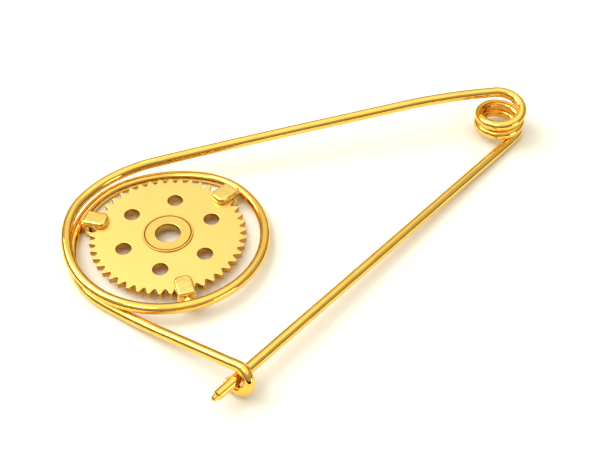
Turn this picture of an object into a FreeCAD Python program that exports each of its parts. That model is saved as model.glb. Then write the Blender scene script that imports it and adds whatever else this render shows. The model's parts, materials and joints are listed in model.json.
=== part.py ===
"""Kilt-pin brooch: one sprung round wire with a coil, a loop and a hook catch, and a toothed wheel held
in the loop by three claws.

Frame (mm): the origin is the centre of the wheel's bore, +Z is the wheel's axis and points up from the
surface the brooch lies on, and +X runs along the pin, from its point to the coil.
"""
import math
import os

import FreeCAD
import Part

V = FreeCAD.Vector

# wire
wire_r = 1.0
rest_z = -2.1                  # the surface that the brooch lies on
low_z = rest_z + wire_r        # centre of wire that lies on it

# toothed wheel and its bush
tooth_count = 45
tip_r = 14.5
root_r = 13.35
tip_half_deg = 0.9             # half the flat on a tooth's tip
root_half_deg = 0.7            # half the flat between two teeth
plate_t = 1.2
hole_count = 6
hole_r = 1.45
hole_circle_r = 8.65
hole_start_deg = 36.7
bush_bore_r = 2.32
bush_shank_r = 3.4
bush_flange_r = 4.7
bush_rise = 0.25               # flange above the plate's face, and the staked rim below it
bush_edge = 0.2
edge_break = 0.12

# claws
claw_deg = (119.0, 238.0, 355.5)
claw_half_w = 1.7
claw_nose_r = 11.6             # distance from the wheel's axis to the claw's rounded end
claw_back_r = 16.1
claw_spine_r = 14.8
claw_gap = 0.12                # between jaw and plate
claw_jaw_t = 1.15
claw_corner_r = 1.1            # of the nose, seen from above
claw_fillet = 0.5
solder_r = 0.85
solder_lift = 0.6              # the bead's height as a share of the wire's

# coil
coil_r = 4.1
coil_x = 66.0
pin_y = -32.4
coil_y = pin_y + coil_r
coil_pitch = 2.05
coil_from_deg = 54.0           # where the upper arm meets the coil
coil_to_deg = -810.0           # where the pin leaves it
coil_end_z = low_z + 0.1
coil_lift = 1.15               # the last turn before the upper arm opens upwards by this
coil_lift_from_deg = -230.0

# upper arm: it levels out just past the coil, then runs down to the loop with a slight bow
arm_level_len = 20.0
arm_level_rise = 0.5
arm_turn_deg = 1.6

# loop: angles run on through the one and a half turns, and each change is by so much between two angles
loop_from_deg = 55.0
loop_split_deg = 300.0
loop_to_deg = 545.0
loop_start_r = 17.85
loop_r_changes = ((0.35, 55.0, 85.0), (0.5, 85.0, 115.0), (-0.35, 115.0, 150.0), (-0.45, 160.0, 270.0),
                  (-1.0, 358.0, 405.0), (0.6, 415.0, 455.0), (0.9, 470.0, 545.0))
loop_start_z = low_z + 3.4
loop_z_changes = ((-0.9, 45.0, 80.0), (-0.4, 130.0, 190.0), (-2.1, 190.0, 420.0))

# lower arm and catch
arm_knee = 0.42                # share of the lower arm that turns upwards; from there it is straight
hook_x = -14.75
hook_y = -32.4                 # where the hook's bend starts, over the pin
hook_top_z = low_z + 4.65
hook_r = 2.1
hook_tilt = math.radians(9.5)  # both legs of the hook rise outwards by this
hook_out = V(0, -math.cos(hook_tilt), math.sin(hook_tilt))
hook_up = V(0, math.sin(hook_tilt), math.cos(hook_tilt))
hook_centre = V(hook_x, hook_y, hook_top_z) - hook_up * hook_r
hook_skew = -1.3               # the hook's return lies this far towards the pin's point
hook_return_len = 3.0

# pin
pin_hook_z = hook_centre.z - (pin_y - hook_centre.y) * math.tan(hook_tilt)
pin_slope = 0.0317             # rise per mm towards the point
pin_bend_x = 58.0              # the pin is straight from here to its point
pin_end_x = -20.6
dressed_r = 0.9                # the free end is dressed down past the hook
dressed_len = 2.4
taper_len = 0.7
point_r = 0.55
point_len = 0.9
point_bevel = 0.3
end_bevel = 0.25

past = 0.5                     # how far one solid runs into the next, and a cut past what it cuts


def ease(t):
    """Smooth step from 0 to 1."""
    t = min(max(t, 0.0), 1.0)
    return t * t * (3.0 - 2.0 * t)


def changed(value, changes, at):
    """A value after its smooth changes, each by so much between two places."""
    return value + sum(by * ease((at - start) / (end - start)) for by, start, end in changes)


def polar(r, deg, z=0.0):
    return V(r * math.cos(math.radians(deg)), r * math.sin(math.radians(deg)), z)


def coil_point(deg):
    z = coil_end_z + coil_pitch * (deg - coil_to_deg) / 360.0
    z += coil_lift * ease((deg - coil_lift_from_deg) / (coil_from_deg - coil_lift_from_deg))
    return V(coil_x, coil_y, z) + polar(coil_r, deg)


def loop_point(deg):
    r = changed(loop_start_r, loop_r_changes, deg)
    return polar(r, deg, changed(loop_start_z, loop_z_changes, deg))


def direction(point, deg, step):
    """Unit tangent of a curve given by its angle, in the sense of step."""
    d = point(deg + step) - point(deg - step)
    return d.normalize()


def stations(point, a, b, step):
    """Points and unit tangents along a curve given by its parameter, from a to b, about a step apart."""
    n = max(1, round(abs(b - a) / step))
    h = (b - a) / n / 100.0
    return [(point(a + (b - a) * i / n), direction(point, a + (b - a) * i / n, h)) for i in range(n + 1)]


def joined_arcs(p, t, q, u):
    """The middle point of the two arcs that join p, leaving along t, to q, arriving along u."""
    v = q - p
    s = t + u
    k = 2.0 * (1.0 - t.dot(u))
    if k < 1e-9:
        d = v.dot(v) / (4.0 * v.dot(u))
    else:
        d = (math.sqrt(v.dot(s) ** 2 + k * v.dot(v)) - v.dot(s)) / k
    return (p + q + (t - u) * d) * 0.5


def bend(ring, p, t, q):
    """Wall swept by the ring from p, leaving along t, round an arc to q; and the ring and tangent there."""
    chord = q - p
    n = t.cross(chord)
    if n.Length < 1e-6 * chord.Length:
        wall = ring.extrude(chord)
        return wall, ring.translated(chord), t
    axis = V(n).normalize()
    centre = p + axis.cross(t) * (chord.dot(chord) / (2.0 * n.Length))
    angle = 2.0 * math.degrees(math.atan2(n.Length, t.dot(chord)))
    wall = ring.revolve(centre, axis, angle)
    return wall, ring.rotated(centre, axis, angle), FreeCAD.Rotation(axis, angle).multVec(t)


def round_wire(path, r=wire_r):
    """Round wire through a list of points and tangents, as one solid of arcs."""
    p, t = path[0]
    ring = Part.makeCircle(r, p, t)
    walls = [Part.Face(Part.Wire(ring))]
    for q, u in path[1:]:
        for to in (joined_arcs(p, t, q, u), q):
            wall, ring, t = bend(ring, p, t, to)
            walls += wall.Faces
            p = to
    walls.append(Part.Face(Part.Wire(ring)))
    shell = Part.makeShell(walls)
    shell.sewShape()
    return Part.makeSolid(shell)


def keep(shape, node):
    if shape.Volume < 0:
        shape.reverse()
    print("%-12s valid %s solids %d volume %.2f" % (node, shape.isValid(), len(shape.Solids), shape.Volume))
    shape.exportStep("parts/%s.step" % node)
    return shape


def pin_z(x):
    return pin_hook_z + (hook_x - x) * pin_slope


def upper_arm():
    a = coil_point(coil_from_deg)
    b = loop_point(loop_from_deg)
    off = polar(1.0, coil_from_deg + 90.0 + arm_turn_deg)
    m = a + off * arm_level_len + V(0, 0, arm_level_rise)
    down = off + V(0, 0, (b.z - m.z) / (b - m).Length)
    leave = -direction(coil_point, coil_from_deg, -0.5)
    return round_wire([(a, leave), (m, down.normalize()), (b, direction(loop_point, loop_from_deg, 0.5))])


def arm_point(s):
    """Centre of the lower arm, from the loop at 0 to the hook's bend at 1."""
    a = loop_point(loop_to_deg)
    b = V(hook_x, hook_y, 0)
    p = a + (b - a) * s
    rise = s * s / (2.0 * arm_knee) if s < arm_knee else s - arm_knee / 2.0
    p.z = low_z + (hook_top_z - low_z) * rise / (1.0 - arm_knee / 2.0)
    return p


def lower_arm():
    path = stations(arm_point, 0.0, 1.0, 0.1)
    path[0] = (path[0][0], direction(loop_point, loop_to_deg, 0.5))
    path[-1] = (path[-1][0], hook_out)
    return round_wire(path)


def hook_point(deg):
    """Centre of the hook's half turn, from over the pin at 90 to under it at 270."""
    a = math.radians(deg)
    p = hook_centre + hook_up * (hook_r * math.sin(a)) - hook_out * (hook_r * math.cos(a))
    return p + V(hook_skew * ease((deg - 90) / 180.0), 0, 0)


def catch_hook():
    path = stations(hook_point, 90.0, 270.0, 30.0)
    end = path[-1][0]
    path[0] = (path[0][0], hook_out)
    path[-1] = (end, -hook_out)
    path.append((end - hook_out * hook_return_len, -hook_out))
    return round_wire(path)


def bevel_ring(end, along, r, bevel):
    """What comes off a round end to bevel its edge."""
    cyl = Part.makeCylinder(r + past, bevel + past, end - along * bevel, along)
    cone = Part.makeCone(r, r - bevel, bevel, end - along * bevel, along)
    return cyl.cut(cone)


def bevelled_rod(r, start, along, length, bevel):
    """Rod that runs past into what it starts on, with its far edge bevelled."""
    rod = Part.makeCylinder(r, length + past, start - along * past, along)
    return rod.cut(bevel_ring(start + along * length, along, r, bevel))


def pin_shaft():
    a = coil_point(coil_to_deg)
    b = V(pin_bend_x, pin_y, pin_z(pin_bend_x))
    end = V(pin_end_x, pin_y, pin_z(pin_end_x))
    along = (end - b).normalize()
    dressed_start = end - along * (dressed_len + end_bevel)
    c = dressed_start - along * taper_len
    shaft = round_wire([(a, direction(coil_point, coil_to_deg, -0.5)), (b, along), (c, along)])
    taper = Part.makeCone(wire_r, dressed_r, taper_len, c, along)
    dressed = bevelled_rod(dressed_r, dressed_start, along, dressed_len + end_bevel, end_bevel)
    point = bevelled_rod(point_r, end, along, point_len, point_bevel)
    return shaft.fuse([taper, dressed, point]).removeSplitter()


def gear_outline():
    pitch = 360.0 / tooth_count
    pts = []
    for i in range(tooth_count):
        mid = i * pitch
        pts += [polar(root_r, mid - root_half_deg), polar(root_r, mid + root_half_deg)]
        pts += [polar(tip_r, mid + pitch / 2 - tip_half_deg), polar(tip_r, mid + pitch / 2 + tip_half_deg)]
    return Part.Face(Part.makePolygon(pts + pts[:1]))


def gear_wheel():
    plate = gear_outline().extrude(V(0, 0, plate_t))
    plate.translate(V(0, 0, -plate_t / 2))
    holes = [Part.makeCylinder(bush_shank_r, plate_t * 2, V(0, 0, -plate_t))]
    for i in range(hole_count):
        at = polar(hole_circle_r, hole_start_deg + i * 360.0 / hole_count, -plate_t)
        holes.append(Part.makeCylinder(hole_r, plate_t * 2, at))
    return plate.cut(holes)


def hub_bush():
    """Bush pressed through the plate, with a bevelled flange on each face."""
    half = plate_t / 2
    top = Part.makeCylinder(bush_flange_r, bush_rise, V(0, 0, half))
    low = Part.makeCylinder(bush_flange_r, bush_rise, V(0, 0, -half - bush_rise))
    top = top.cut(bevel_ring(V(0, 0, half + bush_rise), V(0, 0, 1), bush_flange_r, bush_edge))
    low = low.cut(bevel_ring(V(0, 0, -half - bush_rise), V(0, 0, -1), bush_flange_r, bush_edge))
    shank = Part.makeCylinder(bush_shank_r, plate_t, V(0, 0, -half))
    body = top.fuse([shank, low]).removeSplitter()
    bore = Part.makeCylinder(bush_bore_r, 4 * plate_t, V(0, 0, -2 * plate_t))
    body = body.cut(bore)
    circles = [e for e in body.Edges if e.Curve.TypeId == "Part::GeomCircle"]
    rims = [e for e in circles if abs(e.Curve.Radius - bush_bore_r) < 1e-6]
    return body.makeChamfer(edge_break, rims)


def claw(deg):
    """Clip that reaches over and under the wheel's rim, and has a spine at the teeth's tips."""
    half = plate_t / 2 + claw_gap + claw_jaw_t
    body = Part.makeBox(claw_back_r - claw_nose_r, 2 * claw_half_w, 2 * half,
                        V(claw_nose_r, -claw_half_w, -half))
    nose = [e for e in body.Edges if e.CenterOfMass.x < claw_nose_r + past]
    body = body.makeFillet(claw_corner_r, [e for e in nose if e.Curve.Direction.z ** 2 > 0.5])
    rims = [e for e in body.Edges if abs(abs(e.CenterOfMass.z) - half) < 1e-6]
    body = body.makeFillet(claw_fillet, rims)
    gap = plate_t + 2 * claw_gap
    mouth = Part.makeBox(claw_spine_r - claw_nose_r + past, 2 * (claw_half_w + past), gap,
                         V(claw_nose_r - past, -claw_half_w - past, -gap / 2))
    body = body.cut(mouth)
    body.rotate(V(0, 0, 0), V(0, 0, 1), deg)
    return body


def solder(deg, wires):
    """Bead that joins a claw's back to the wire beside it."""
    turns = [loop_point(deg + t) for t in (0, 360) if loop_from_deg < deg + t < loop_to_deg]
    near = min(turns, key=lambda p: math.hypot(p.x, p.y))
    start = polar(claw_back_r, deg, near.z * solder_lift)
    bead = Part.makeCylinder(solder_r, math.hypot(near.x, near.y) - claw_back_r, start, polar(1.0, deg))
    return max(bead.cut(wires).Solids, key=lambda s: s.Volume)


def main():
    os.makedirs("parts", exist_ok=True)
    keep(pin_shaft(), "pin_shaft")
    keep(round_wire(stations(coil_point, coil_from_deg, coil_to_deg, 36.0)), "spring_coil")
    keep(upper_arm(), "upper_arm")
    upper = keep(round_wire(stations(loop_point, loop_from_deg, loop_split_deg, 30.0)), "loop_upper")
    lower = keep(round_wire(stations(loop_point, loop_split_deg, loop_to_deg, 30.0)), "loop_lower")
    keep(lower_arm(), "lower_arm")
    keep(catch_hook(), "catch_hook")
    keep(gear_wheel(), "gear_wheel")
    keep(hub_bush(), "hub_bush")
    for i, deg in enumerate(claw_deg, 1):
        keep(claw(deg), "claw_%d" % i)
        keep(solder(deg, [upper, lower]), "solder_%d" % i)


main()
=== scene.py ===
"""Looks of a kilt-pin brooch: polished gold-tone wire round a satin toothed wheel, on a pale table.

The design's own sizes are in millimetres and degrees, in the row's frame: the origin is the centre of the
wheel's bore, +Z is up and +X runs along the pin towards its coil. mm() turns them into metres.
"""
import json
import math

import bmesh
import bpy
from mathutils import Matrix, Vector, geometry, noise


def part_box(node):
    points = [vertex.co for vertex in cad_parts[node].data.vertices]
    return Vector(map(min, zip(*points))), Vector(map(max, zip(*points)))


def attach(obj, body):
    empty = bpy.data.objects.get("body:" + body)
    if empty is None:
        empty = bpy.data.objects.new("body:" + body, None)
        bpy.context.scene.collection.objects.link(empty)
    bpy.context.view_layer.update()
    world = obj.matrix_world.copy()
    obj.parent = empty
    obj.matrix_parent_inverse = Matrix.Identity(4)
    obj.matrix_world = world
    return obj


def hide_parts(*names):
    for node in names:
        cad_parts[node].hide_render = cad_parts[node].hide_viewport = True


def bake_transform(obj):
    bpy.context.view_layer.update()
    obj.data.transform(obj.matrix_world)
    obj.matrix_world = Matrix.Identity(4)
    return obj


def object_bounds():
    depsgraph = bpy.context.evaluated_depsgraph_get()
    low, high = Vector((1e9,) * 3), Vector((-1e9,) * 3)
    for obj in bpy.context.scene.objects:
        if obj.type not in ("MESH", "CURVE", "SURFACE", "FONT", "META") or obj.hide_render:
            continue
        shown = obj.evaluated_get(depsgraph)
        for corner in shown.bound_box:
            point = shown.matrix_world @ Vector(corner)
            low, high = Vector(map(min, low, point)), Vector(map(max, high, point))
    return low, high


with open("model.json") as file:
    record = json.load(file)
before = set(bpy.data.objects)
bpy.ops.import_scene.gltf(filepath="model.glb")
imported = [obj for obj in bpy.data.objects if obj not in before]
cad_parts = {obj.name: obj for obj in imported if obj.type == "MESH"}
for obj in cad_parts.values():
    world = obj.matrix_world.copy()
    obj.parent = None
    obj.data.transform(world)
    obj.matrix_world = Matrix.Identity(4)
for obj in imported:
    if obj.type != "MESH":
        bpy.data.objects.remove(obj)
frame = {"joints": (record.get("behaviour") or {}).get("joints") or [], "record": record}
cad_low, cad_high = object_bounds()
record = frame["record"]
mounts = {m["name"]: m for m in record["mounts"]}
hinge = next(j for j in frame["joints"] if j["name"] == "pin_swing")

# wire, as in the design
wire_r = 1.0
table_z = cad_low.z * 1000
low_z = table_z + wire_r
coil_r = 4.1
coil_x, coil_y = (c * 1000 for c in hinge["pos_m"][:2])
coil_pitch = 2.05
coil_from_deg = 54.0
coil_to_deg = -810.0
coil_end_z = low_z + 0.1
coil_lift = 1.15
coil_lift_from_deg = -230.0
arm_level_len = 20.0
arm_level_rise = 0.5
arm_turn_deg = 1.6
loop_from_deg = 55.0
loop_to_deg = 545.0
loop_start_r = 17.85
loop_r_changes = ((0.35, 55.0, 85.0), (0.5, 85.0, 115.0), (-0.35, 115.0, 150.0), (-0.45, 160.0, 270.0),
                  (-1.0, 358.0, 405.0), (0.6, 415.0, 455.0), (0.9, 470.0, 545.0))
loop_start_z = low_z + 3.4
loop_z_changes = ((-0.9, 45.0, 80.0), (-0.4, 130.0, 190.0), (-2.1, 190.0, 420.0))
arm_knee = 0.42
hook_x = -14.75
hook_y = -32.4
hook_top_z = low_z + 4.65
hook_r = 2.1
hook_tilt = math.radians(9.5)
hook_out = Vector((0, -math.cos(hook_tilt), math.sin(hook_tilt)))
hook_up = Vector((0, math.sin(hook_tilt), math.cos(hook_tilt)))
hook_centre = Vector((hook_x, hook_y, hook_top_z)) - hook_up * hook_r
hook_skew = -1.3
hook_return_len = 3.0
pin_y = coil_y - coil_r
pin_hook_z = hook_centre.z - (pin_y - hook_centre.y) * math.tan(hook_tilt)
pin_slope = 0.0317
pin_bend_x = 58.0
pin_end_x = -20.6
dressed_r = 0.9
dressed_len = 2.4
taper_len = 0.7
point_r = 0.55
point_len = 0.9
point_bevel = 0.3
shoulder_gap = 0.02            # keeps the shoulder behind the pin's point nearly square
end_bevel = 0.25
cap_r = 0.02                   # ring that closes each end of the wire
ring_sides = 40
pin_steps = 36
arm_steps = 24
arm_blend_steps = (3, 2)       # steps at the lower arm's two ends that blend into the loop and the hook
same_place = 1e-6
level_within = 1e-7            # metres: a face whose corners differ less in height is flat

# wheel, bush and claws
tooth_count = 45
tip_r = 14.5
root_r = 13.35
tip_half_deg = 0.9
root_half_deg = 0.7
tip_round = 0.12
root_round = 0.16
plate_half = 0.6
plate_edge = 0.09              # rounding of the plate's edges
hole_circle_r = mounts["wheel_holes"]["dims"]["pcd_mm"] / 2
hole_r = mounts["wheel_holes"]["dims"]["hole_r_mm"]
hole_count = mounts["wheel_holes"]["dims"]["count"]
hole_start_deg = 36.7
bore_r = mounts["wheel_bore"]["dims"]["r_mm"]
flange_r = 4.7
flange_rise = 0.25
flange_sink = 0.02             # how far inside the plate's face the flange starts
# The flange's top, going outwards: how far in from its edge, and how deep. First the groove, then the bevel.
flange_profile = ((0.56, 0.0), (0.52, 0.1), (0.43, 0.23), (0.34, 0.1), (0.3, 0.0), (0.1, 0.0), (0.03, 0.05))
bore_edge = 0.12
bush_wall = 1.0
bush_gap = 0.08                # between the bush's barrel and the plate's hole
claw_deg = (119.0, 238.0, 355.5)
claw_half_w = 1.7
claw_nose_r = 11.6
claw_back_r = 16.1
claw_spine_r = 14.8
claw_gap = 0.12
claw_jaw_t = 1.15
claw_nose_cut = 0.75
claw_round = 0.58
claw_inner_share = 0.2         # of that rounding, on the edges inside the clip's mouth
solder_r = 0.95
solder_lump = 0.22             # share of its radius by which the bead's skin goes in and out
solder_lump_scale = 1300.0


def mm(*lengths):
    return Vector(lengths) / 1000


def ease(t):
    """Smooth step from 0 to 1."""
    t = min(max(t, 0.0), 1.0)
    return t * t * (3.0 - 2.0 * t)


def changed(value, changes, at):
    """A value after its smooth changes, each by so much between two places."""
    return value + sum(by * ease((at - start) / (end - start)) for by, start, end in changes)


def polar(r, deg, z=0.0):
    return Vector((r * math.cos(math.radians(deg)), r * math.sin(math.radians(deg)), z))


# The wire's centre line, in millimetres

def coil_point(deg):
    z = coil_end_z + coil_pitch * (deg - coil_to_deg) / 360.0
    z += coil_lift * ease((deg - coil_lift_from_deg) / (coil_from_deg - coil_lift_from_deg))
    return Vector((coil_x, coil_y, z)) + polar(coil_r, deg)


def loop_point(deg):
    r = changed(loop_start_r, loop_r_changes, deg)
    return polar(r, deg, changed(loop_start_z, loop_z_changes, deg))


def arm_point(s):
    """Centre of the lower arm, from the loop at 0 to the hook's bend at 1."""
    p = loop_point(loop_to_deg).lerp(Vector((hook_x, hook_y, 0)), s)
    rise = s * s / (2.0 * arm_knee) if s < arm_knee else s - arm_knee / 2.0
    p.z = low_z + (hook_top_z - low_z) * rise / (1.0 - arm_knee / 2.0)
    return p


def hook_point(deg):
    """Centre of the hook's half turn, from over the pin at 90 to under it at 270."""
    a = math.radians(deg)
    p = hook_centre + hook_up * (hook_r * math.sin(a)) - hook_out * (hook_r * math.cos(a))
    return p + Vector((hook_skew * ease((deg - 90) / 180.0), 0, 0))


def direction(point, at, step):
    """Unit tangent of a curve given by its parameter, in the sense of step."""
    return (point(at + step) - point(at - step)).normalized()


def along_curve(point, a, b, step):
    """Points along a curve given by its parameter, from a to b."""
    n = max(1, round(abs(b - a) / step))
    return [point(a + (b - a) * i / n) for i in range(n + 1)]


def eased_run(p, t, q, u, step):
    """Points from p, leaving along t, to q, arriving along u, about a step apart."""
    reach = (q - p).length
    n = max(2, round(reach / step))
    points = []
    for i in range(n + 1):
        s = i / n
        points.append(p * (1 + 2 * s) * (1 - s) ** 2 + q * s * s * (3 - 2 * s)
                      + t * reach * s * (1 - s) ** 2 - u * reach * s * s * (1 - s))
    return points


def pin_point(x):
    return Vector((x, pin_y, pin_hook_z + (hook_x - x) * pin_slope))


def pin_line():
    """From the free end's taper to the coil."""
    end, bend = pin_point(pin_end_x), pin_point(pin_bend_x)
    along = (bend - end).normalized()
    start = end + along * (end_bevel + dressed_len + taper_len)
    straight = [start.lerp(bend, i / pin_steps) for i in range(pin_steps)]
    coil = coil_point(coil_to_deg)
    return along, straight + eased_run(bend, along, coil, direction(coil_point, coil_to_deg, 0.5), 0.8)


def upper_arm_line():
    a = coil_point(coil_from_deg)
    b = loop_point(loop_from_deg)
    off = polar(1.0, coil_from_deg + 90.0 + arm_turn_deg)
    m = a + off * arm_level_len + Vector((0, 0, arm_level_rise))
    down = (off + Vector((0, 0, (b.z - m.z) / (b - m).length))).normalized()
    first = eased_run(a, direction(coil_point, coil_from_deg, 0.5), m, down, 1.0)
    return first[:-1] + eased_run(m, down, b, direction(loop_point, loop_from_deg, 0.5), 1.5)


def lower_arm_line():
    points = [arm_point(s / arm_steps) for s in range(arm_steps + 1)]
    a = arm_blend_steps[0]
    b = arm_steps - arm_blend_steps[1]
    first = eased_run(points[0], direction(loop_point, loop_to_deg, 0.5), points[a],
                      direction(arm_point, a / arm_steps, 0.01), 1.0)
    last = eased_run(points[b], direction(arm_point, b / arm_steps, 0.01), points[-1], hook_out, 0.6)
    return first[:-1] + points[a:b] + last


def hook_line():
    turn = along_curve(hook_point, 90.0, 270.0, 6.0)
    return turn + [turn[-1] - hook_out * (hook_return_len - end_bevel), turn[-1] - hook_out * hook_return_len]


def wire_line():
    """The wire's stations, each a centre, a radius and the share of the pin's swing that it should follow,
    which the tube doesn't use.
    """
    along, pin = pin_line()
    end = pin_point(pin_end_x)
    tip = end - along * point_len
    dressed = end + along * end_bevel
    stations = [(tip, cap_r, 1), (tip, point_r - point_bevel, 1), (tip + along * point_bevel, point_r, 1),
                (end - along * shoulder_gap, point_r, 1), (end, dressed_r - end_bevel, 1),
                (dressed, dressed_r, 1), (dressed + along * dressed_len, dressed_r, 1)]
    stations += [(p, wire_r, 1) for p in pin[:-1]]
    turns = along_curve(coil_point, coil_to_deg, coil_from_deg, 5.0)
    stations += [(p, wire_r, 1 - i / (len(turns) - 1)) for i, p in enumerate(turns)]
    rest = upper_arm_line()[1:] + along_curve(loop_point, loop_from_deg, loop_to_deg, 3.0)[1:]
    rest += lower_arm_line()[1:] + hook_line()[1:]
    stations += [(p, wire_r, 0) for p in rest[:-1]]
    return stations + [(rest[-1], wire_r - end_bevel, 0), (rest[-1], cap_r, 0)]


# Meshes

def finished(name, mesh, body, material, nodes, sharp_deg=40.0, flat_caps=False):
    """Puts a mesh in the scene as a piece that rides on a body and stands for CAD nodes.

    Flat caps get exact upright normals, so that long thin triangles in them don't show.
    """
    piece = bpy.data.objects.new(name, mesh)
    bpy.context.scene.collection.objects.link(piece)
    mesh.materials.append(material)
    for face in mesh.polygons:
        face.use_smooth = True
    mesh.set_sharp_from_angle(angle=math.radians(sharp_deg))
    if flat_caps:
        normals = [corner.vector.copy() for corner in mesh.corner_normals]
        for face in mesh.polygons:
            heights = [mesh.vertices[v].co.z for v in face.vertices]
            if max(heights) - min(heights) < level_within:
                for i in face.loop_indices:
                    normals[i] = Vector((0, 0, math.copysign(1.0, heights[0])))
        mesh.normals_split_custom_set(normals)
    if body:
        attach(piece, body)
    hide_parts(*nodes)
    return piece


def as_mesh(made, name):
    """Turns a bmesh into a mesh of this name, and frees it."""
    mesh = bpy.data.meshes.new(name)
    made.to_mesh(mesh)
    made.free()
    return mesh


def wire_tangents(points):
    """Unit tangents of a line of points, of which some stand in the same place."""
    tangents = []
    for i, p in enumerate(points):
        before = next((p - q for q in reversed(points[:i]) if (p - q).length > same_place), Vector())
        after = next((q - p for q in points[i + 1:] if (p - q).length > same_place), Vector())
        tangents.append((before.normalized() + after.normalized()).normalized())
    return tangents


def tube(name, stations):
    """Round mesh through the stations, with rings that don't twist.

    Its UV map goes from 0 to 1 round the wire, and along it in millimetres.
    """
    points = [s[0] for s in stations]
    made = bmesh.new()
    uv = made.loops.layers.uv.new("wire")
    tangents = wire_tangents(points)
    side = tangents[0].orthogonal().normalized()
    rings, travelled, at = [], [], 0.0
    for i, (p, r, _) in enumerate(stations):
        side = (side - tangents[i] * side.dot(tangents[i])).normalized()
        other = tangents[i].cross(side)
        at += (p - points[i - 1]).length if i else 0.0
        travelled.append(at)
        turns = [2 * math.pi * k / ring_sides for k in range(ring_sides)]
        ring = [p + (side * math.cos(a) + other * math.sin(a)) * r for a in turns]
        rings.append([made.verts.new(mm(*place)) for place in ring])
    for i in range(len(rings) - 1):
        for k in range(ring_sides):
            n = (k + 1) % ring_sides
            face = made.faces.new((rings[i][k], rings[i][n], rings[i + 1][n], rings[i + 1][k]))
            corners = ((k, i), (k + 1, i), (k + 1, i + 1), (k, i + 1))
            for loop, (u, v) in zip(face.loops, corners):
                loop[uv].uv = (u / ring_sides, travelled[v])
    made.faces.new(reversed(rings[0]))
    made.faces.new(rings[-1])
    bmesh.ops.recalc_face_normals(made, faces=made.faces)
    return as_mesh(made, name)


def rounded(corners, radius, steps=3):
    """A closed outline with each corner made an arc; radius gives the arc's radius for a corner's index."""
    out = []
    for i, p in enumerate(corners):
        a = (corners[i - 1] - p).normalized()
        b = (corners[(i + 1) % len(corners)] - p).normalized()
        half = a.angle(b) / 2
        back = radius(i) / math.tan(half)
        centre = p + (a + b).normalized() * (radius(i) / math.sin(half))
        start, end = ((p + v * back - centre).normalized() for v in (a, b))
        out += [centre + start.slerp(end, k / steps) * radius(i) for k in range(steps + 1)]
    return out


def plate(name, outlines, half, edge, steps=3):
    """Flat plate with rounded edges. Its outline runs anticlockwise, and its holes clockwise."""
    turns = [math.pi / 2 * k / steps for k in range(steps + 1)]
    profile = [(edge * (1 - math.cos(a)), half - edge + edge * math.sin(a)) for a in turns]
    levels = [(inset, -z) for inset, z in reversed(profile)] + profile
    made = bmesh.new()
    caps = {0: [], len(levels) - 1: []}
    for outline in outlines:
        n = len(outline)
        inward = []
        for i, p in enumerate(outline):
            a = (p - outline[i - 1]).normalized()
            b = (outline[(i + 1) % n] - p).normalized()
            left = Vector((-a.y - b.y, a.x + b.x, 0)).normalized()
            inward.append(left / max(0.5, left.dot(Vector((-a.y, a.x, 0)))))
        loops = []
        for inset, z in levels:
            ring = [p + v * inset + Vector((0, 0, z)) for p, v in zip(outline, inward)]
            loops.append([made.verts.new(mm(*place)) for place in ring])
        for low, high in zip(loops, loops[1:]):
            for i in range(n):
                k = (i + 1) % n
                made.faces.new((low[i], low[k], high[k], high[i]))
        for end in caps:
            caps[end].append(loops[end])
    for loops in caps.values():
        verts = [v for loop in loops for v in loop]
        for tri in geometry.tessellate_polygon([[v.co * 1000 for v in loop] for loop in loops]):
            made.faces.new([verts[i] for i in tri])
    bmesh.ops.recalc_face_normals(made, faces=made.faces)
    return as_mesh(made, name)


def circle(r, at=Vector(), sides=64, clockwise=False):
    turn = -360.0 if clockwise else 360.0
    return [at + polar(r, turn * k / sides) for k in range(sides)]


def gear_outline():
    pitch = 360.0 / tooth_count
    corners = []
    for i in range(tooth_count):
        root, tip = i * pitch, i * pitch + pitch / 2
        corners += [polar(root_r, root - root_half_deg), polar(root_r, root + root_half_deg)]
        corners += [polar(tip_r, tip - tip_half_deg), polar(tip_r, tip + tip_half_deg)]
    return rounded(corners, lambda i: root_round if i % 4 < 2 else tip_round)


def lathe(name, profile, sides=96):
    """Ring turned about Z from a closed profile of radius and height."""
    made = bmesh.new()
    rings = []
    for r, z in profile:
        rings.append([made.verts.new(mm(*polar(r, 360.0 * k / sides, z))) for k in range(sides)])
    for a, b in zip(rings, rings[1:] + rings[:1]):
        for k in range(sides):
            n = (k + 1) % sides
            made.faces.new((a[k], a[n], b[n], b[k]))
    bmesh.ops.recalc_face_normals(made, faces=made.faces)
    return as_mesh(made, name)


def weighted(piece):
    """Flat faces stay flat beside their rounded edges."""
    piece.modifiers.new("flat faces", "WEIGHTED_NORMAL").keep_sharp = True


# Materials

def node(tree, kind, settings=(), **values):
    """A new node with its settings and its inputs' values."""
    made = tree.nodes.new(kind)
    for name, value in dict(settings).items():
        setattr(made, name, value)
    for name, value in values.items():
        made.inputs[name.replace("_", " ")].default_value = value
    return made


def spread(tree, source, low, high, to_low, to_high):
    """Maps a texture's value from low..high to to_low..to_high."""
    made = node(tree, "ShaderNodeMapRange", From_Min=low, From_Max=high, To_Min=to_low, To_Max=to_high)
    tree.links.new(source, made.inputs["Value"])
    return made.outputs["Result"]


def bumped(tree, shader, layers):
    """Stacks bumps, each a height, a strength and a depth in metres."""
    normal = None
    for height, strength, depth in layers:
        bump = node(tree, "ShaderNodeBump", Strength=strength, Distance=depth)
        tree.links.new(height, bump.inputs["Height"])
        if normal:
            tree.links.new(normal, bump.inputs["Normal"])
        normal = bump.outputs["Normal"]
    tree.links.new(normal, shader.inputs["Normal"])


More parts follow.
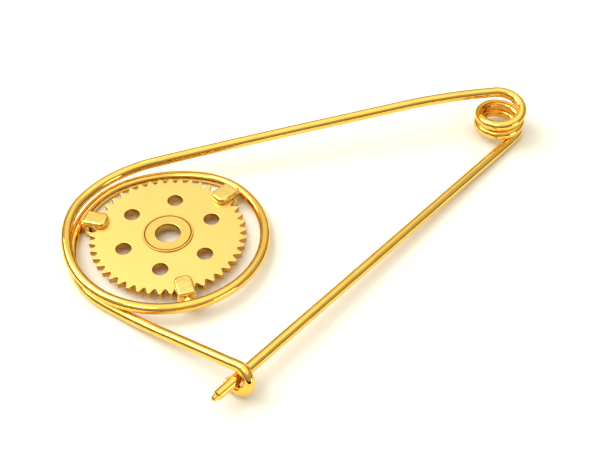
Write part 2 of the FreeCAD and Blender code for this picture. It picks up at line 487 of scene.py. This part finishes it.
def gold(name, tone, patch_tone, polish, layers):
    """Gold-plated brass: two close tones in soft patches, uneven polish, and the bumps that layers makes."""
    material = bpy.data.materials.new(name)
    material.use_nodes = True
    tree = material.node_tree
    shader = tree.nodes["Principled BSDF"]
    shader.inputs["Metallic"].default_value = 1.0
    where = node(tree, "ShaderNodeTexCoord").outputs["Object"]
    patches = node(tree, "ShaderNodeTexNoise", Scale=170.0, Detail=4.0, Roughness=0.6)
    smears = node(tree, "ShaderNodeTexNoise", Scale=900.0, Detail=3.0, Roughness=0.55)
    for texture in (patches, smears):
        tree.links.new(where, texture.inputs["Vector"])
    mix = node(tree, "ShaderNodeMix", {"data_type": "RGBA"})
    mix.inputs[6].default_value = (*tone, 1)
    mix.inputs[7].default_value = (*patch_tone, 1)
    tree.links.new(spread(tree, patches.outputs["Fac"], 0.35, 0.65, 0.0, 1.0), mix.inputs["Factor"])
    tree.links.new(mix.outputs[2], shader.inputs["Base Color"])
    tree.links.new(spread(tree, smears.outputs["Fac"], 0.3, 0.7, *polish), shader.inputs["Roughness"])
    bumped(tree, shader, layers(tree, where))
    return material


def textured(tree, where, kind, **values):
    made = node(tree, kind, **values)
    tree.links.new(where, made.inputs["Vector"])
    return made.outputs["Distance" if kind == "ShaderNodeTexVoronoi" else "Fac"]


def wire_layers(tree, where):
    """Draw lines along the wire, a few nicks, and the slight waver of hand bending."""
    uv = node(tree, "ShaderNodeUVMap", {"uv_map": "wire"})
    stretch = node(tree, "ShaderNodeMapping")
    stretch.inputs["Scale"].default_value = (26.0, 0.35, 1.0)
    tree.links.new(uv.outputs["UV"], stretch.inputs["Vector"])
    lines = textured(tree, stretch.outputs["Vector"], "ShaderNodeTexNoise", Scale=3.0, Detail=3.0)
    waver = textured(tree, where, "ShaderNodeTexNoise", Scale=240.0, Detail=1.0)
    cells = textured(tree, where, "ShaderNodeTexVoronoi", Scale=420.0)
    nicks = spread(tree, cells, 0.0, 0.09, 0.0, 1.0)
    return [(waver, 0.12, 0.0006), (lines, 0.05, 0.00012), (nicks, 0.1, 0.00008)]


def wheel_layers(tree, where):
    """Satin of a stamped and tumbled plate: fine grain, shallow waves and sparse pits."""
    grain = textured(tree, where, "ShaderNodeTexNoise", Scale=5200.0, Detail=2.0)
    waves = textured(tree, where, "ShaderNodeTexNoise", Scale=420.0, Detail=2.0)
    pits = spread(tree, textured(tree, where, "ShaderNodeTexVoronoi", Scale=520.0), 0.0, 0.1, 0.0, 1.0)
    return [(waves, 0.1, 0.0002), (grain, 0.12, 0.00004), (pits, 0.3, 0.00006)]


def turned_layers(tree, where):
    """Concentric tool marks, and a fine grain."""
    rings = node(tree, "ShaderNodeTexWave", {"wave_type": "RINGS", "rings_direction": "Z"},
                 Scale=1400.0, Distortion=0.6, Detail=1.0)
    tree.links.new(where, rings.inputs["Vector"])
    grain = textured(tree, where, "ShaderNodeTexNoise", Scale=4200.0, Detail=2.0)
    return [(rings.outputs["Fac"], 0.03, 0.00003), (grain, 0.06, 0.00004)]


def worked_layers(tree, where):
    """Filed and buffed by hand: soft facets and scratches."""
    facets = textured(tree, where, "ShaderNodeTexNoise", Scale=700.0, Detail=1.0)
    grain = textured(tree, where, "ShaderNodeTexNoise", Scale=3600.0, Detail=3.0)
    return [(facets, 0.35, 0.0003), (grain, 0.12, 0.00005)]


def molten_layers(tree, where):
    """The lumpy skin of solder."""
    lumps = textured(tree, where, "ShaderNodeTexNoise", Scale=1500.0, Detail=2.0)
    return [(lumps, 0.5, 0.0003)]


def table_material():
    material = bpy.data.materials.new("table")
    material.use_nodes = True
    shader = material.node_tree.nodes["Principled BSDF"]
    shader.inputs["Base Color"].default_value = (0.96, 0.94, 0.81, 1)
    shader.inputs["Roughness"].default_value = 0.7
    shader.inputs["Specular IOR Level"].default_value = 0.15
    return material


# Pieces

def make_wire(material):
    stations = wire_line()
    nodes = ["pin_shaft", "spring_coil", "upper_arm", "loop_upper", "loop_lower", "lower_arm", "catch_hook"]
    wire = finished("sprung_wire", tube("sprung_wire", stations), None, material, nodes)
    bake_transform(wire)
    return wire


def paint_wall_shade(piece, material, flat_from):
    """Gives the material, a darker one with painted shade, to the faces that aren't flat: those whose
    normal's Z is less than flat_from.
    """
    piece.data.materials.append(material)
    for face in piece.data.polygons:
        if abs(face.normal.z) < flat_from:
            face.material_index = 1


def make_wheel(material, wall_shade_material):
    """The teeth, the ring of holes, and a centre hole whose wall the bush hides."""
    holes = [circle(bore_r + bush_wall + bush_gap, clockwise=True)]
    for i in range(hole_count):
        at = polar(hole_circle_r, hole_start_deg + i * 360.0 / hole_count)
        holes.append(circle(hole_r, at, sides=40, clockwise=True))
    mesh = plate("toothed_wheel", [gear_outline()] + holes, plate_half, plate_edge)
    wheel = finished("toothed_wheel", mesh, "wheel", material, ["gear_wheel"],
                     sharp_deg=60.0, flat_caps=True)
    # The walls of the teeth and the holes get a darker brown: painted shade for the shade inside the holes
    # and between the teeth.
    paint_wall_shade(wheel, wall_shade_material, flat_from=0.5)


def make_bush(material, groove_shade_material):
    """Flanged both sides; a fine groove runs round the top of each flange, just inside its bevel."""
    top = plate_half + flange_rise
    foot = plate_half - flange_sink
    outer = [(bore_r + bore_edge / 3, top - bore_edge / 3), (bore_r + bore_edge, top)]
    outer += [(flange_r - inset, top - depth) for inset, depth in flange_profile]
    outer += [(flange_r, foot), (bore_r + bush_wall, foot)]
    wall = [(bore_r, -top + bore_edge), (bore_r, top - bore_edge)]
    mesh = lathe("hub_bushing", outer + [(r, -z) for r, z in reversed(outer)] + wall)
    bush = finished("hub_bushing", mesh, "wheel", material, ["hub_bush"],
                    sharp_deg=50.0, flat_caps=True)
    # The groove's walls, the flange's bevel and the bore's wall get a darker material: painted shade for thin
    # dark lines and a brown bore.
    paint_wall_shade(bush, groove_shade_material, flat_from=0.85)


def claw_mesh(name, deg):
    """Two jaws and a spine in one closed cage, whose bevels make the clip's rounded edges."""
    w, gap, half = claw_half_w, plate_half + claw_gap, plate_half + claw_gap + claw_jaw_t
    nose = [(claw_spine_r, w), (claw_nose_r + claw_nose_cut, w), (claw_nose_r, w - claw_nose_cut),
            (claw_nose_r, claw_nose_cut - w), (claw_nose_r + claw_nose_cut, -w), (claw_spine_r, -w)]
    back = [(claw_back_r, -w), (claw_back_r, w)]
    turn = math.radians(deg)
    made = bmesh.new()
    weights = made.edges.layers.float.new("bevel_weight_edge")
    made_verts = {}

    def at(x, y, z):
        if (x, y, z) not in made_verts:
            place = mm(x * math.cos(turn) - y * math.sin(turn), x * math.sin(turn) + y * math.cos(turn), z)
            made_verts[x, y, z] = made.verts.new(place)
        return made_verts[x, y, z]

    outline = nose + back
    for sign in (1, -1):
        made.faces.new([at(x, y, sign * half) for x, y in outline])
        made.faces.new([at(x, y, sign * gap) for x, y in nose])
        for (x, y), (u, v) in zip(outline, outline[1:] + outline[:1]):
            corners = ((x, y, gap), (u, v, gap), (u, v, half), (x, y, half))
            made.faces.new([at(a, b, sign * z) for a, b, z in corners])
    spine = [(claw_spine_r, -w)] + back + [(claw_spine_r, w)]
    for (x, y), (u, v) in zip(spine, spine[1:] + spine[:1]):
        made.faces.new((at(x, y, -gap), at(u, v, -gap), at(u, v, gap), at(x, y, gap)))
    bmesh.ops.recalc_face_normals(made, faces=made.faces)
    bmesh.ops.dissolve_limit(made, angle_limit=0.01, verts=made.verts, edges=made.edges)
    for edge in made.edges:
        outer = all(abs(abs(v.co.z * 1000) - half) < 0.01 for v in edge.verts)
        upright = abs((edge.verts[0].co - edge.verts[1].co).normalized().z) > 0.5
        edge[weights] = 1.0 if outer or upright else claw_inner_share
    return as_mesh(made, name)


def make_claws(material):
    for i, deg in enumerate(claw_deg, 1):
        name = "claw_clip_%d" % i
        claw = finished(name, claw_mesh(name, deg), "frame", material, ["claw_%d" % i], 30.0)
        bevel = claw.modifiers.new("rounded edges", "BEVEL")
        bevel.limit_method = "WEIGHT"
        bevel.width = claw_round / 1000
        bevel.segments = 5
        weighted(claw)


def make_solder(material):
    """A lumpy bead between each claw's back and the wire, where the CAD bead is."""
    for i in range(1, len(claw_deg) + 1):
        node_name = "solder_%d" % i
        low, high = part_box(node_name)
        middle = (low + high) / 2
        made = bmesh.new()
        bmesh.ops.create_icosphere(made, subdivisions=4, radius=solder_r / 1000)
        for v in made.verts:
            lump = noise.noise(v.co * solder_lump_scale + Vector((i * 7.0, 0, 0)))
            v.co = middle + v.co * (1.0 + solder_lump * lump)
        mesh = as_mesh(made, "solder_bead_%d" % i)
        finished(mesh.name, mesh, "frame", material, [node_name], 180.0)


# Studio

camera_azimuth = -48.8         # 0 looks along +Y, and 90 along -X
camera_elevation = 46.66
camera_distance = 0.2086
camera_lens = 67.4
camera_aim = mm(17.67, -16.88, plate_half)
# The tent's brightness by height, each a sine of elevation and a level: the two ends first.
tent_levels = ((0.0, 0.01), (1.0, 1.0), (0.17, 0.03), (0.29, 0.36), (0.72, 0.42), (0.86, 1.0))
tent_tint = (1.0, 0.985, 0.96)
tent_strength = 1.5
tent_front = 0.8               # share of its light that is left on the camera's side
tent_front_deg = 20.0          # elevation of that side's middle
tent_front_edge = (0.1, 0.9)   # cosines of the angle from there, between which it dims
table_size = 6.0


def make_table():
    bpy.ops.mesh.primitive_plane_add(size=table_size, location=(0, 0, cad_low.z))
    table = bpy.context.object
    table.name = "table"
    table.data.materials.append(table_material())


def make_world():
    """White tent: dark along the horizon, a little darker on the camera's side, and brightest overhead."""
    world = bpy.data.worlds.new("tent")
    bpy.context.scene.world = world
    world.use_nodes = True
    tree = world.node_tree
    where = node(tree, "ShaderNodeTexCoord").outputs["Generated"]
    split = node(tree, "ShaderNodeSeparateXYZ")
    tree.links.new(where, split.inputs["Vector"])
    ramp = node(tree, "ShaderNodeValToRGB")
    for i, (at, level) in enumerate(tent_levels):
        stop = ramp.color_ramp.elements[i] if i < 2 else ramp.color_ramp.elements.new(at)
        stop.position = at
        stop.color = (*(level * part for part in tent_tint), 1)
    tree.links.new(split.outputs["Z"], ramp.inputs["Fac"])
    facing = node(tree, "ShaderNodeVectorMath", {"operation": "DOT_PRODUCT"})
    facing.inputs[1].default_value = away(camera_azimuth, tent_front_deg)
    tree.links.new(where, facing.inputs[0])
    shade = spread(tree, facing.outputs["Value"], *tent_front_edge, 1.0, tent_front)
    dimmed = node(tree, "ShaderNodeVectorMath", {"operation": "SCALE"})
    tree.links.new(ramp.outputs["Color"], dimmed.inputs[0])
    tree.links.new(shade, dimmed.inputs["Scale"])
    tree.links.new(dimmed.outputs["Vector"], tree.nodes["Background"].inputs["Color"])
    tree.nodes["Background"].inputs["Strength"].default_value = tent_strength


def away(azimuth, elevation):
    """Unit vector from the brooch towards a viewer at this azimuth and elevation, in degrees."""
    a, e = math.radians(azimuth), math.radians(elevation)
    return Vector((math.sin(a) * math.cos(e), -math.cos(a) * math.cos(e), math.sin(e)))


def softbox(name, azimuth, elevation, distance, size, brightness):
    """Area light aimed at the brooch's middle; azimuth 0 is behind the brooch as the camera looks."""
    aim = (cad_low + cad_high) / 2
    toward = away(camera_azimuth + 180.0 - azimuth, elevation)
    light = bpy.data.lights.new(name, "AREA")
    light.shape = "RECTANGLE"
    light.size, light.size_y = size
    light.energy = brightness * math.pi * size[0] * size[1]
    lamp = bpy.data.objects.new(name, light)
    lamp.location = aim + toward * distance
    lamp.rotation_euler = toward.to_track_quat("Z", "Y").to_euler()
    bpy.context.scene.collection.objects.link(lamp)


def make_camera():
    back = away(camera_azimuth, camera_elevation)
    camera = bpy.data.objects.new("camera", bpy.data.cameras.new("camera"))
    camera.data.lens = camera_lens
    camera.data.clip_start = 0.01
    camera.location = camera_aim + back * camera_distance
    camera.rotation_mode = "QUATERNION"
    camera.rotation_quaternion = (-back).to_track_quat("-Z", "Y")
    bpy.context.scene.collection.objects.link(camera)
    bpy.context.scene.camera = camera


def main():
    bpy.context.scene.view_settings.view_transform = "Standard"
    gold_tone, rosy_tone = (0.95, 0.60, 0.125), (0.93, 0.55, 0.10)
    make_wire(gold("polished_wire", gold_tone, rosy_tone, (0.03, 0.08), wire_layers))
    # Darker brown with painted shade, for the wheel's walls round its teeth and holes.
    edge = gold("painted_wall_shade", (0.56, 0.29, 0.05), (0.5, 0.25, 0.04), (0.25, 0.4), wheel_layers)
    make_wheel(gold("satin_wheel", (0.95, 0.63, 0.18), (0.94, 0.615, 0.17), (0.36, 0.44), wheel_layers), edge)
    # Darker brown with painted shade, for the bush's groove, bevels and bore wall.
    groove = gold("bush_painted_shade", (0.56, 0.34, 0.06), (0.48, 0.29, 0.05), (0.3, 0.45), wheel_layers)
    make_bush(gold("turned_bush", (0.95, 0.61, 0.17), gold_tone, (0.22, 0.3), turned_layers), groove)
    make_claws(gold("buffed_claw", (0.95, 0.67, 0.19), (0.94, 0.61, 0.14), (0.12, 0.22), worked_layers))
    make_solder(gold("gilt_solder", (0.95, 0.66, 0.26), gold_tone, (0.14, 0.24), molten_layers))
    make_table()
    make_world()
    softbox("key", -74, 49, 0.55, (0.38, 0.38), 4.3)
    softbox("back", 0, 42, 0.8, (0.9, 0.4), 0.35)
    softbox("left", -141, 60, 0.5, (0.16, 0.16), 3.0)
    softbox("right", 124, 7, 0.5, (0.2, 0.16), 3.0)
    make_camera()


main()
